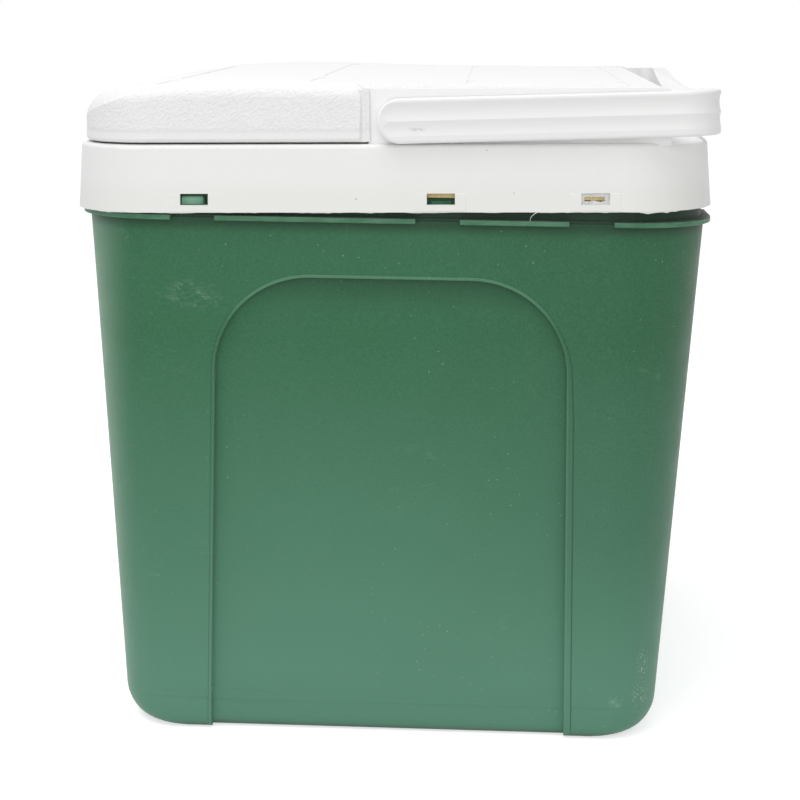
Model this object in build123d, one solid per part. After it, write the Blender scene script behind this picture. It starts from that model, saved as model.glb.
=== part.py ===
from build123d import *
from math import cos, radians, sqrt, tan
import os

# Green outer body, in mm, standing on its base with the base centre at the origin.
DRAFT = 3.4                    # draft of the body's walls and of the liner tub, degrees
BASE_HALF_X = 147.5            # half width at the base
BASE_HALF_Y = 170.7            # half length at the base
BASE_CORNER_R = 28.0           # plan corner radius at the base
BODY_TOP_Z = 285.0             # underside of the flange
SIDE_BOTTOM_R = 19.0           # rounding between the long walls and the base
END_BOTTOM_R = 7.0             # rounding between the end walls and the base
SHELL_WALL = 2.5
FOOT_BEVEL = 11.0              # bevel round the foot of the inner faces
PANEL_DEPTH = 4.0              # depth of the arched panels sunk into the four sides
ARCH_TOP_Z = 255.0
ARCH_SHOULDER_R = 52.0
END_ARCH_HALF = 93.0           # half width of the end panels under the shoulders
SIDE_ARCH_HALF = 118.0         # half width of the side panels under the shoulders
ARCH_SPREAD = 5.0              # how much wider each panel is at the base, per side

# Flange, neck and snap tabs at the top of the body.
FLANGE_OUT = 3.4
FLANGE_H = 2.2
NECK_INSET = 1.5
NECK_TOP_Z = 297.6
TAB_Z = 292.75
TAB_H = 3.6
TAB_W = 10.0

# White upper unit, in its own level frame: z = 0 is the lower edge of the rim skirt.
UNIT_TILT = 1.1                # the unit is not pressed home on the right side, degrees
UNIT_Z = 290.6
RIM_CENTRE_X = -1.3
RIM_HALF_X = 168.9
RIM_HALF_Y = 192.5
RIM_CORNER_R = 47.0
RIM_H = 34.5
RIM_DRAFT = 4.4
RIM_WALL = 2.5
RIM_TOP_R = 2.6
WINDOW_W = 14.4
WINDOW_H = 5.8
WINDOW_Z = 3.7
END_WINDOW_X = (-101.8, 25.5, 104.6)
SIDE_WINDOW_Y = (-100.0, 100.0)
FLANGE_GAP_W = 22.8
FLANGE_GAP_SHIFT = -1.5

# Liner tub hanging from the rim.
TUB_HALF_X = 133.0
TUB_HALF_Y = 156.5
TUB_CORNER_R = 32.0
TUB_DEPTH = 292.0
TUB_WALL = 2.2
TUB_FLOOR_BEVEL = 6.0
FOAM_GAP = 0.35

# Upstands along both sides of the lid, which carry the handle, and the handle folded to the right.
UPSTAND_LEFT = -11.7
UPSTAND_RIGHT = 143.0
UPSTAND_TOP = 62.4
UPSTAND_Y = 186.2              # distance of the upstand's outer face from the middle
UPSTAND_T = 6.6
PIVOT_X = 4.6
PIVOT_Z = 46.3
PIVOT_R = 5.0
PIVOT_CLEAR = 0.08
ARM_H = 23.0
ARM_FRONT_Y = 194.0
ARM_T = 7.4
GRIP_X = 169.0
GRIP_T = 9.0
HANDLE_CORNER_R = 20.0
GRIP_DIP = 6.0
GRIP_DIP_REACH = 170.0
ARM_EDGE_R = 1.5
CHANNEL_R = 14.0
CHANNEL_DEPTH = 0.8            # depth of the upper channel in the handle's outer face
CHANNEL_RISE = 4.8
CHANNEL_END = 4.5              # how far the channels run past the pivot
GRIP_SLOPE = 50.0              # slope of the scooped inner edge of the grip, degrees
GRIP_FLAT = 3.0                # width left flat on top of the grip
SCOOP_R = 1600.0
HANDLE_REST_TILT = 1.3

# Lid, its hinge and its filling.
LID_GAP = 0.9                  # height of the gap between rim and lid
LID_CROWN = ((-220.0, 48.0), (-164.0, 58.8), (-150.0, 61.3), (-129.0, 64.0), (-87.0, 66.3),
             (-17.0, 65.0), (60.0, 63.4), (152.0, 62.2), (240.0, 61.8))
LID_TOP = 66.3
LID_LEFT_X = -164.4
LID_RIGHT_X = 143.0
PAD_RIGHT_X = -14.7            # right end of the full-length part of the lid
PAD_HALF_Y = 189.3
DECK_HALF_Y = 177.6
PAD_CORNER_R = 40.0
TIP_R = 3.0                    # plan rounding of the pad's right-hand corners
SHOULDER_X = -12.3             # right end of the step beside the pad, next to the upstand
SHOULDER_HALF_Y = 187.0
DECK_CORNER_R = 8.0
PAD_EASE = 6.0                 # how far outside the pad's ends the soft edge starts
PAD_SHAVE = 0.05               # keeps the soft edge's outer wall just inside the pad block
PAD_EDGE_R = 16.0              # soft upper edge round the outside of the lid
PAD_INNER_R = 13.0             # the same edge seen from the hollow, before the wall is taken off
PAD_SIDE_R = 8.0               # upper edges of the pad's long sides and right end
PAD_FOOT_R = 3.0               # lower edges of the pad
DECK_EDGE_R = 5.0              # upper edges beside the handle
CATCH_X = -11.0                # right end of the strip that covers the gap to the upstand
CATCH_TOP = 62.0
LID_WALL = 2.5
LID_DRAFT = 2.0
PLUG_HALF_X = 129.5
PLUG_HALF_Y = 153.0
PLUG_CORNER_R = 28.0
PLUG_DEPTH = 23.0
GASKET_IN = 4.5
GASKET_W = 5.0
GASKET_T = 0.7
LID_FOOT_R = 2.4
HINGE_X = -159.6
HINGE_Z = 42.5
HINGE_PIN_R = 1.5
HINGE_PIN_L = 58.0
HINGE_Y = (-105.0, 105.0)
LUG_HALF_X = 3.6
LUG_HALF_Y = 12.0
LUG_TOP = 46.3
KNUCKLE_L = 14.0
GROOVE_X = (-122.0, -41.0, 40.0, 121.0)
GROOVE_W = 4.4
GROOVE_DEPTH = 0.25

# Ice packs that line the tub.
PACK_W = 120.0
PACK_H = 190.0
PACK_T = 34.0
PACK_EDGE = 5.0
PACK_WALL_GAP = 3.0
CAP_R = 12.0
CAP_H = 8.0
CAP_OFFSET = 38.0

SLOPE = tan(radians(DRAFT))
UNIT = Location((0, 0, UNIT_Z), (0, -UNIT_TILT, 0))


def block(half_x, half_y, radius, z_low, height, taper, centre_x=0.0):
    """Upright block of rounded plan; a negative taper makes it wider towards the top."""
    plan = Pos(centre_x, 0, z_low) * RectangleRounded(2 * half_x, 2 * half_y, radius)
    return extrude(plan, height, taper=taper)


def slab(x_low, x_high, y_low, y_high, z_low, z_high):
    """Plain box between two corners."""
    middle = Pos((x_low + x_high) / 2, (y_low + y_high) / 2, (z_low + z_high) / 2)
    return middle * Box(x_high - x_low, y_high - y_low, z_high - z_low)


def arch(half_w, grow):
    """Upright prism with a round-shouldered top, long enough to pass through the body."""
    top = ARCH_TOP_Z + grow
    shoulder = ARCH_SHOULDER_R + grow
    upper = half_w + grow
    lower = upper + ARCH_SPREAD
    outline = Polyline((-lower, -20), (lower, -20), (upper, top - shoulder), (upper, top),
                       (-upper, top), (-upper, top - shoulder), (-lower, -20))
    face = make_face(Plane.XZ * outline)
    prism = extrude(face, 260, both=True)
    crown = prism.edges().filter_by(Axis.Y).sort_by(Axis.Z)[-2:]
    return fillet(crown, shoulder - 1)


def round_in(height, radius):
    """Horizontal set-back of a bottom rounding at a height above the base."""
    if height >= radius:
        return 0.0
    return radius - sqrt(radius ** 2 - (radius - height) ** 2)


def bucket(inset, floor_z, z_high, side_r, end_r):
    """Drafted body block whose base is rounded more along the sides than along the ends."""
    sections = []
    for step in range(9):
        height = side_r * (1 - cos(radians(11.25 * step)))
        half_x = BASE_HALF_X + (floor_z + height) * SLOPE - inset - round_in(height, side_r)
        half_y = BASE_HALF_Y + (floor_z + height) * SLOPE - inset - round_in(height, end_r)
        radius = BASE_CORNER_R + height * SLOPE - 0.5 * inset - 0.35 * round_in(height, side_r)
        sections.append(Pos(0, 0, floor_z + height) * RectangleRounded(2 * half_x, 2 * half_y, radius))
    foot = loft(sections)
    top_z = floor_z + side_r
    half_x = BASE_HALF_X + top_z * SLOPE - inset
    half_y = BASE_HALF_Y + top_z * SLOPE - inset
    radius = BASE_CORNER_R + side_r * SLOPE - 0.5 * inset
    return foot + block(half_x, half_y, radius, top_z, z_high - top_z, -DRAFT)


def plain_bucket(inset, floor_z, z_high):
    """Drafted block for the hidden inner faces, with one bevel round its foot."""
    half_x = BASE_HALF_X + floor_z * SLOPE - inset
    half_y = BASE_HALF_Y + floor_z * SLOPE - inset
    form = block(half_x, half_y, BASE_CORNER_R - 0.5 * inset, floor_z, z_high - floor_z, -DRAFT)
    return chamfer(form.faces().sort_by(Axis.Z)[0].edges(), FOOT_BEVEL)


def body_form(inset, z_high):
    """Body with its sunk panels, moved inwards by the inset on every side."""
    if inset == 0:
        full = bucket(0, 0, z_high, SIDE_BOTTOM_R, END_BOTTOM_R)
        core = bucket(PANEL_DEPTH, 0, z_high, SIDE_BOTTOM_R - 2, END_BOTTOM_R)
    else:
        full = plain_bucket(inset, inset, z_high)
        core = plain_bucket(inset + PANEL_DEPTH, inset, z_high)
    arches = arch(END_ARCH_HALF, inset) + Rot(0, 0, 90) * arch(SIDE_ARCH_HALF, inset)
    return full - (arches - core)


def top_outline(outset):
    """Body outline at the flange, moved outwards by the outset."""
    grow = BODY_TOP_Z * SLOPE + outset
    return BASE_HALF_X + grow, BASE_HALF_Y + grow, BASE_CORNER_R + grow


def make_outer_body():
    outer = body_form(0, BODY_TOP_Z + 0.5)
    half_x, half_y, radius = top_outline(FLANGE_OUT)
    flange = block(half_x, half_y, radius, BODY_TOP_Z, FLANGE_H, 0)
    for x in END_WINDOW_X:
        mid = x + FLANGE_GAP_SHIFT
        gap = slab(mid - FLANGE_GAP_W / 2, mid + FLANGE_GAP_W / 2, -240, -half_y + FLANGE_OUT + 0.4,
                   BODY_TOP_Z - 1, BODY_TOP_Z + FLANGE_H + 1)
        flange -= gap
        flange -= Rot(0, 0, 180) * gap
    for y in SIDE_WINDOW_Y:
        gap = slab(half_x - FLANGE_OUT - 0.4, 240, y - FLANGE_GAP_W / 2, y + FLANGE_GAP_W / 2,
                   BODY_TOP_Z - 1, BODY_TOP_Z + FLANGE_H + 1)
        flange -= gap
        flange -= Rot(0, 0, 180) * gap
    half_x, half_y, radius = top_outline(-NECK_INSET)
    neck = block(half_x, half_y, radius, BODY_TOP_Z, NECK_TOP_Z - BODY_TOP_Z, 0)
    shell = outer + flange + neck
    for x in END_WINDOW_X:
        near_reach = 4.4 if x < -50 else 2.6
        near_y = -half_y - near_reach
        shell += slab(x - TAB_W / 2, x + TAB_W / 2, near_y, -half_y + 2, TAB_Z, TAB_Z + TAB_H)
        far_reach = 4.4 if x > 50 else 2.6
        shell += slab(-x - TAB_W / 2, -x + TAB_W / 2, half_y - 2, half_y + far_reach, TAB_Z, TAB_Z + TAB_H)
    for y in SIDE_WINDOW_Y:
        shell += slab(-half_x - 4.4, -half_x + 2, y - TAB_W / 2, y + TAB_W / 2, TAB_Z, TAB_Z + TAB_H)
        shell += slab(half_x - 2, half_x + 1.2, y - TAB_W / 2, y + TAB_W / 2, TAB_Z, TAB_Z + TAB_H)
    mouth_x, mouth_y, mouth_r = top_outline(-NECK_INSET - SHELL_WALL)
    mouth = block(mouth_x, mouth_y, mouth_r, BODY_TOP_Z - 4, 40, 0)
    return shell - body_form(SHELL_WALL, BODY_TOP_Z - 3) - mouth


def tub_form(outset):
    """Space of the liner tub, moved outwards by the outset, open upwards past the rim."""
    half_x = TUB_HALF_X + outset
    half_y = TUB_HALF_Y + outset
    depth = TUB_DEPTH + outset
    top = block(half_x, half_y, TUB_CORNER_R + outset, 0, depth, DRAFT, RIM_CENTRE_X)
    tub = Location((2 * RIM_CENTRE_X, 0, RIM_H), (0, 180, 0)) * top
    return chamfer(tub.faces().sort_by(Axis.Z)[0].edges(), TUB_FLOOR_BEVEL + 0.5 * outset)


def rim_form(inset, z_low, z_high):
    """Drafted rim block, moved inwards by the inset, between two heights."""
    lean = tan(radians(RIM_DRAFT)) * z_low
    half_x = RIM_HALF_X - inset - lean
    half_y = RIM_HALF_Y - inset - lean
    return block(half_x, half_y, RIM_CORNER_R - inset - lean, z_low, z_high - z_low, RIM_DRAFT, RIM_CENTRE_X)


def make_rim_liner():
    outer = rim_form(0, 0, RIM_H)
    outer = fillet(outer.faces().sort_by(Axis.Z)[-1].edges(), RIM_TOP_R)
    skirt = outer - rim_form(RIM_WALL, -1, RIM_H - RIM_WALL)
    skirt -= tub_form(TUB_WALL / 2)
    liner = skirt + (tub_form(TUB_WALL) - tub_form(0))
    for x in END_WINDOW_X:
        window = slab(x - WINDOW_W / 2, x + WINDOW_W / 2, -240, -RIM_HALF_Y + 6, WINDOW_Z,
                      WINDOW_Z + WINDOW_H)
        liner -= window
        liner -= Rot(0, 0, 180) * window
    for y in SIDE_WINDOW_Y:
        for side in (-1, 1):
            face_x = RIM_CENTRE_X + side * RIM_HALF_X
            liner -= slab(face_x - 6, face_x + 6, y - WINDOW_W / 2, y + WINDOW_W / 2,
                          WINDOW_Z, WINDOW_Z + WINDOW_H)
    bore = Rot(90, 0, 0) * Cylinder(PIVOT_R + PIVOT_CLEAR, 30)
    wall = slab(UPSTAND_LEFT, UPSTAND_RIGHT, -UPSTAND_Y, -UPSTAND_Y + UPSTAND_T, RIM_H - 1.5, UPSTAND_TOP)
    ends = wall.edges().filter_by(Axis.Y).group_by(Axis.Z)[-1].sort_by(Axis.X)
    wall = fillet(ends[0], 1.2)
    wall = fillet(wall.edges().filter_by(Axis.Y).group_by(Axis.X)[-1].sort_by(Axis.Z)[-1], 3.0)
    wall -= Pos(PIVOT_X, -UPSTAND_Y, PIVOT_Z) * bore
    liner += wall
    liner += mirror(wall, about=Plane.XZ)
    for y in HINGE_Y:
        lug = slab(HINGE_X - LUG_HALF_X, HINGE_X + LUG_HALF_X, y - LUG_HALF_Y, y + LUG_HALF_Y,
                   RIM_H - 1.5, LUG_TOP)
        lug = fillet(lug.edges().filter_by(Axis.Y).sort_by(Axis.Z)[-2:], 3.0)
        lug -= Pos(HINGE_X, y, HINGE_Z) * Rot(90, 0, 0) * Cylinder(HINGE_PIN_R + 0.06, 40)
        liner += lug
    return liner


def make_foam_core():
    """Insulation that fills the room between shell, rim and tub."""
    lower = body_form(SHELL_WALL + FOAM_GAP, BODY_TOP_Z - 3.4)
    mouth_x, mouth_y, mouth_r = top_outline(-NECK_INSET - SHELL_WALL - FOAM_GAP)
    throat = block(mouth_x, mouth_y, mouth_r, BODY_TOP_Z - 5, NECK_TOP_Z + 3 - BODY_TOP_Z + 5, 0)
    crown = UNIT * rim_form(RIM_WALL + FOAM_GAP, 0, RIM_H - RIM_WALL - FOAM_GAP)
    crown -= slab(-260, 260, -260, 260, 200, NECK_TOP_Z + 0.6)
    return lower + throat + crown - UNIT * tub_form(TUB_WALL + FOAM_GAP)


def tip_radius(inset):
    return TIP_R - 0.7 * inset


def lid_plan(inset):
    """Lid outline: a full-length left part and a shorter right part between the handle arms."""
    left = LID_LEFT_X + inset
    right = LID_RIGHT_X - inset
    pad_end = PAD_RIGHT_X - inset
    pad_y = PAD_HALF_Y - inset
    deck_y = DECK_HALF_Y - inset
    outline = Polyline((left, -pad_y), (pad_end, -pad_y), (pad_end, -deck_y), (right, -deck_y),
                       (right, deck_y), (pad_end, deck_y), (pad_end, pad_y), (left, pad_y), (left, -pad_y))
    face = make_face(outline)
    corners = face.vertices()
    face = fillet(corners.filter_by_position(Axis.X, left - 1, left + 1), PAD_CORNER_R - inset)
    ends = face.vertices().filter_by_position(Axis.X, pad_end - 0.5, pad_end + 0.5)
    tips = ends.filter_by(lambda v: abs(v.Y) > deck_y + 1)
    face = fillet(tips, tip_radius(inset))
    tips = face.vertices().filter_by_position(Axis.X, right - 0.5, right + 0.5)
    return fillet(tips, DECK_CORNER_R - inset)


def sky(drop):
    """Space above the crowned top surface of the lid."""
    crown = Spline(*[(x, z - drop) for x, z in LID_CROWN])
    above = Polyline(crown @ 1, (240, 120), (-220, 120), crown @ 0)
    return extrude(Plane.XZ.offset(240) * make_face([crown, above]), -480)


def crowned(plan, z_low, drop, edge_r, x_limit):
    """Drafted block on a plan, cut off under the crown, with upper edges left of a limit rounded."""
    body = extrude(plan, LID_TOP + 12 - z_low, taper=LID_DRAFT) - sky(drop)
    if edge_r <= 0:
        return body
    upper = body.faces().sort_by(Axis.Z)[-1].edges().filter_by(lambda e: (e @ 0.5).X < x_limit)
    return fillet(upper, edge_r)


def pad_ends(z_low):
    """Space for the pad, with rounded right-hand corners and a rounded foot."""
    half_y = PAD_HALF_Y + 0.05
    space = slab(LID_LEFT_X - 60, PAD_RIGHT_X + 0.05, -half_y, half_y, z_low - 0.05, 120)
    foot = space.edges().filter_by(Axis.Y).group_by(Axis.Z)[0].sort_by(Axis.X)[-1]
    space = fillet(foot, PAD_FOOT_R)
    return fillet(space.edges().filter_by(Axis.Z).group_by(Axis.X)[-1], TIP_R)


def lid_form(inset, z_low, drop):
    """Lid block, moved inwards by the inset, with its upper edges rounded under the crown."""
    solid = inset == 0
    half_y = PAD_HALF_Y - inset
    pad_mid = (LID_LEFT_X + PAD_RIGHT_X) / 2
    pad_l = PAD_RIGHT_X - LID_LEFT_X - 2 * inset
    pad = Pos(pad_mid, 0, z_low) * Rectangle(pad_l, 2 * half_y)
    pad = fillet(pad.vertices().group_by(Axis.X)[0], PAD_CORNER_R - inset)
    if not solid:
        pad = fillet(pad.vertices().group_by(Axis.X)[-1], tip_radius(inset))
    deck_l = LID_RIGHT_X + 100 - inset
    deck = Pos(LID_RIGHT_X - inset - deck_l / 2, 0, z_low) * Rectangle(deck_l, 2 * (DECK_HALF_Y - inset))
    deck = fillet(deck.vertices().group_by(Axis.X)[-1], DECK_CORNER_R - inset)
    step_l = 60 - inset
    step = Pos(SHOULDER_X - inset - step_l / 2, 0, z_low) * Rectangle(step_l, 2 * (SHOULDER_HALF_Y - inset))
    pad = crowned(pad, z_low, drop, solid * PAD_SIDE_R, 999)
    if solid:
        pad &= pad_ends(z_low)
    inner = pad + crowned(deck, z_low, drop, solid * DECK_EDGE_R, 999)
    inner += crowned(step, z_low, drop, solid * PAD_SIDE_R, 999)
    soft_r = PAD_CORNER_R + PAD_EASE - inset
    frame_x = LID_LEFT_X + inset + PAD_SHAVE + 200
    frame = Pos(frame_x, 0, z_low) * RectangleRounded(400, 2 * (half_y + PAD_EASE), soft_r)
    soft_edge = PAD_EDGE_R if solid else PAD_INNER_R - inset
    return inner & crowned(frame, z_low, drop, soft_edge, 180)


def lid_foot(z_low):
    """Block with a rounded lower edge that trims the foot of the lid."""
    plan = Pos(LID_LEFT_X + 300, 0, z_low) * RectangleRounded(600, 2 * PAD_HALF_Y, PAD_CORNER_R)
    foot = extrude(plan, 60) - slab(225, 700, -300, 300, 0, 120)
    lower = foot.faces().sort_by(Axis.Z)[0].edges().filter_by(lambda e: (e @ 0.5).X < 223)
    return fillet(lower, LID_FOOT_R)


def hinge_clearance(y, half_y):
    """Room in the lid for one rim lug to swing through."""
    barrel = Pos(HINGE_X, y, HINGE_Z) * Rot(90, 0, 0) * Cylinder(7.2, 2 * half_y)
    below = slab(HINGE_X - 12, HINGE_X + 7.2, y - half_y, y + half_y, RIM_H - 2, HINGE_Z)
    return barrel + below


def make_lid_cover():
    low = RIM_H + LID_GAP
    cover = lid_form(0, low, 0) & lid_foot(low)
    cover -= lid_form(LID_WALL, low - 1, LID_WALL)
    floor = lid_form(0, low, GROOVE_DEPTH)
    for x in GROOVE_X:
        for y_low, y_high in ((-166.0, -112.0), (-88.0, 150.0)):
            length = y_high - y_low
            groove = Pos(x, (y_low + y_high) / 2, LID_TOP - 5) * SlotOverall(length, GROOVE_W, rotation=90)
            cover -= extrude(groove, 15) - floor
    for side in (-1, 1):
        y_mid = side * (SHOULDER_HALF_Y + UPSTAND_Y - 1.5) / 2
        y_size = SHOULDER_HALF_Y - UPSTAND_Y + 2.5
        z_mid = (low + 0.3 + CATCH_TOP) / 2
        z_size = CATCH_TOP - low - 0.3
        cover += Pos((PAD_RIGHT_X + SHOULDER_X) / 2 - 1, y_mid, z_mid) * Box(4.4, y_size, z_size)
        y_mid = side * (SHOULDER_HALF_Y + UPSTAND_Y + 0.85) / 2
        y_size = SHOULDER_HALF_Y - UPSTAND_Y + 0.15
        cover += Pos(CATCH_X - 1, y_mid, z_mid) * Box(2.0, y_size, z_size)
    for y in HINGE_Y:
        cover -= hinge_clearance(y, LUG_HALF_Y + 0.8)
    return cover


def make_lid_pan():
    low = RIM_H + LID_GAP
    plate = extrude(Pos(0, 0, low) * lid_plan(LID_WALL + 0.2), LID_WALL)
    plug = block(PLUG_HALF_X, PLUG_HALF_Y, PLUG_CORNER_R, 0, PLUG_DEPTH, DRAFT, RIM_CENTRE_X)
    plug = Location((2 * RIM_CENTRE_X, 0, low), (0, 180, 0)) * plug
    plug = fillet(plug.faces().sort_by(Axis.Z)[0].edges(), 4.0)
    hollow = block(PLUG_HALF_X - 2.2, PLUG_HALF_Y - 2.2, PLUG_CORNER_R - 2.2, 0, PLUG_DEPTH + 0.3, DRAFT,
                   RIM_CENTRE_X)
    hollow = Location((2 * RIM_CENTRE_X, 0, low + LID_WALL), (0, 180, 0)) * hollow
    pan = plate + plug - hollow
    for y in HINGE_Y:
        for side in (-1, 1):
            y_near = y + side * (LUG_HALF_Y + 0.8)
            y_far = y_near + side * KNUCKLE_L
            pan += slab(LID_LEFT_X + LID_WALL + 0.9, HINGE_X + 5.5, min(y_near, y_far), max(y_near, y_far),
                        low + 0.5, HINGE_Z + 4.5)
        pan -= hinge_clearance(y, LUG_HALF_Y + 0.8)
        pan -= Pos(HINGE_X, y, HINGE_Z) * Rot(90, 0, 0) * Cylinder(HINGE_PIN_R, HINGE_PIN_L)
    return pan


def make_lid_foam():
    low = RIM_H + LID_GAP
    filling = lid_form(LID_WALL + FOAM_GAP, low + LID_WALL + FOAM_GAP, LID_WALL + FOAM_GAP)
    plug = block(PLUG_HALF_X - 2.8, PLUG_HALF_Y - 2.8, PLUG_CORNER_R - 2.8, 0, PLUG_DEPTH + 1, DRAFT,
                 RIM_CENTRE_X)
    filling += Location((2 * RIM_CENTRE_X, 0, low + LID_WALL + 1), (0, 180, 0)) * plug
    for y in HINGE_Y:
        reach = LUG_HALF_Y + KNUCKLE_L + 4
        filling -= slab(LID_LEFT_X, HINGE_X + 9, y - reach, y + reach, low, HINGE_Z + 9)
    return filling


def make_gasket():
    outer_x = TUB_HALF_X + GASKET_IN + GASKET_W
    outer_y = TUB_HALF_Y + GASKET_IN + GASKET_W
    outer_r = TUB_CORNER_R + GASKET_IN + GASKET_W
    low = RIM_H + LID_GAP - GASKET_T
    ring = block(outer_x, outer_y, outer_r, low, GASKET_T, 0, RIM_CENTRE_X)
    inner = block(outer_x - GASKET_W, outer_y - GASKET_W, outer_r - GASKET_W, low - 1, 4, 0, RIM_CENTRE_X)
    return ring - inner


def rail_path(y_half, x_right, radius, x_start):
    """Line that runs along one arm, round the grip and back along the other arm."""
    first = Line((x_start, -y_half), (x_right - radius, -y_half))
    corner = RadiusArc(first @ 1, (x_right, -y_half + radius), -radius)
    grip = Line(corner @ 1, (x_right, y_half - radius))
    turn = RadiusArc(grip @ 1, (x_right - radius, y_half), -radius)
    last = Line(turn @ 1, (x_start, y_half))
    return Wire([first, corner, grip, turn, last])


def make_handle():
    """Strap bent to a U, level in the unit's frame, then rested at its slight upward slope."""
    low = PIVOT_Z - ARM_H / 2
    outer = Pos(0, 0, low) * RectangleRounded(2 * GRIP_X, 2 * ARM_FRONT_Y, HANDLE_CORNER_R)
    inner = Pos(-GRIP_T / 2, 0, low) * RectangleRounded(2 * GRIP_X - GRIP_T, 2 * (ARM_FRONT_Y - ARM_T),
                                                        HANDLE_CORNER_R - ARM_T)
    strap = extrude(outer, ARM_H) - extrude(inner, ARM_H)
    strap -= slab(-300, PIVOT_X, -300, 300, low - 1, low + ARM_H + 1)
    for side in (-1, 1):
        end = Pos(PIVOT_X, side * (ARM_FRONT_Y - ARM_T / 2), PIVOT_Z) * Rot(90, 0, 0)
        strap += end * Cylinder(ARM_H / 2, ARM_T)
    strap = fillet(strap.faces().filter_by(Axis.Y).sort_by(Axis.Y)[0].outer_wire().edges(), ARM_EDGE_R)
    dip_r = (GRIP_DIP_REACH ** 2 + GRIP_DIP ** 2) / (2 * GRIP_DIP)
    dip = Pos(GRIP_X - 10, 0, low + ARM_H - GRIP_DIP + dip_r) * Rot(0, 90, 0) * Cylinder(dip_r, 40)
    strap -= dip
    lean = Pos(GRIP_X - GRIP_FLAT, 0, low + ARM_H - GRIP_DIP) * Rot(0, -GRIP_SLOPE, 0)
    scoop = lean * Pos(-10, 0, SCOOP_R) * Rot(0, 90, 0) * Cylinder(SCOOP_R, 24)
    strap -= scoop & slab(GRIP_X - GRIP_T - 5, GRIP_X, -168, 168, low, low + ARM_H + 5)
    for rise, depth in ((CHANNEL_RISE, CHANNEL_DEPTH), (-0.8 * CHANNEL_RISE, 0.65 * CHANNEL_DEPTH)):
        out = CHANNEL_R - depth
        start_x = PIVOT_X - CHANNEL_END
        rail = rail_path(ARM_FRONT_Y + out, GRIP_X + out, HANDLE_CORNER_R + out, start_x)
        start = Plane(origin=(start_x, -ARM_FRONT_Y - out, PIVOT_Z + rise), z_dir=(1, 0, 0))
        section = start * Circle(CHANNEL_R)
        strap -= sweep(section, path=Pos(0, 0, PIVOT_Z + rise) * rail)
        for side in (-1, 1):
            strap -= Pos(start_x, side * (ARM_FRONT_Y + out), PIVOT_Z + rise) * Sphere(CHANNEL_R)
    pin = Rot(90, 0, 0) * Cylinder(PIVOT_R, UPSTAND_T + 0.6)
    pin_y = ARM_FRONT_Y - ARM_T - (UPSTAND_T + 0.6) / 2 + 0.3
    strap += Pos(PIVOT_X, -pin_y, PIVOT_Z) * pin
    strap += Pos(PIVOT_X, pin_y, PIVOT_Z) * pin
    rest = Location((PIVOT_X, 0, PIVOT_Z), (0, -HANDLE_REST_TILT, 0))
    return rest * Pos(-PIVOT_X, 0, -PIVOT_Z) * strap


def make_hinge_pin(y):
    return Pos(HINGE_X, y, HINGE_Z) * Rot(90, 0, 0) * Cylinder(HINGE_PIN_R, HINGE_PIN_L - 4)


def make_pack():
    """Filled plastic ice pack standing on its short edge, thickness along X."""
    body = chamfer(Box(PACK_T, PACK_W, PACK_H).edges(), PACK_EDGE)
    for y in (-28.0, 28.0):
        for side in (-1, 1):
            face_x = side * PACK_T / 2
            body -= slab(face_x - 1.5, face_x + 1.5, y - 5, y + 5, 30 - PACK_H / 2, PACK_H / 2 - 30)
    neck = Pos(0, CAP_OFFSET, PACK_H / 2) * extrude(RegularPolygon(CAP_R - 3, 12), 3)
    return Pos(0, 0, PACK_H / 2) * (body + neck)


def make_cap():
    """Screw cap with sixteen flats and a bevelled top."""
    cap = extrude(Pos(0, CAP_OFFSET, PACK_H + 3) * RegularPolygon(CAP_R, 16), CAP_H)
    return chamfer(cap.faces().sort_by(Axis.Z)[-1].edges(), 1.2)


def pack_places():
    """Six standing places: two packs along each long wall and one at each end."""
    floor_z = RIM_H - TUB_DEPTH
    wall_x = TUB_HALF_X - TUB_DEPTH * SLOPE - PACK_WALL_GAP - PACK_T / 2
    wall_y = TUB_HALF_Y - TUB_DEPTH * SLOPE - PACK_WALL_GAP - PACK_T / 2
    spots = []
    for y in (-PACK_W / 2 - 1, PACK_W / 2 + 1):
        spots.append(Location((RIM_CENTRE_X - wall_x, y, floor_z + 0.05)))
    for y in (-PACK_W / 2 - 1, PACK_W / 2 + 1):
        spots.append(Location((RIM_CENTRE_X + wall_x, y, floor_z + 0.05)))
    for y in (-wall_y, wall_y):
        spots.append(Location((RIM_CENTRE_X, y, floor_z + 0.05), (0, 0, 90)))
    return spots


os.makedirs("parts", exist_ok=True)

pieces = {
    "outer_body": make_outer_body(),
    "foam_core": make_foam_core(),
    "rim_liner": UNIT * make_rim_liner(),
    "handle": UNIT * make_handle(),
    "lid_cover": UNIT * make_lid_cover(),
    "lid_pan": UNIT * make_lid_pan(),
    "lid_foam": UNIT * make_lid_foam(),
    "lid_gasket": UNIT * make_gasket(),
    "hinge_pin_near": UNIT * make_hinge_pin(HINGE_Y[0]),
    "hinge_pin_far": UNIT * make_hinge_pin(HINGE_Y[1]),
}
for number, place in enumerate(pack_places(), start=1):
    pieces[f"ice_pack_{number}"] = UNIT * place * make_pack()
    pieces[f"pack_cap_{number}"] = UNIT * place * make_cap()

for name, piece in pieces.items():
    export_step(piece, f"parts/{name}.step")
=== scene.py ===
"""Finishes, moulding details, studio light and camera of an insulated vaccine carrier."""
from math import cos, pi, radians, sin, tan

import bmesh
import bpy
import numpy as np
from mathutils import Matrix, Vector


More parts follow.
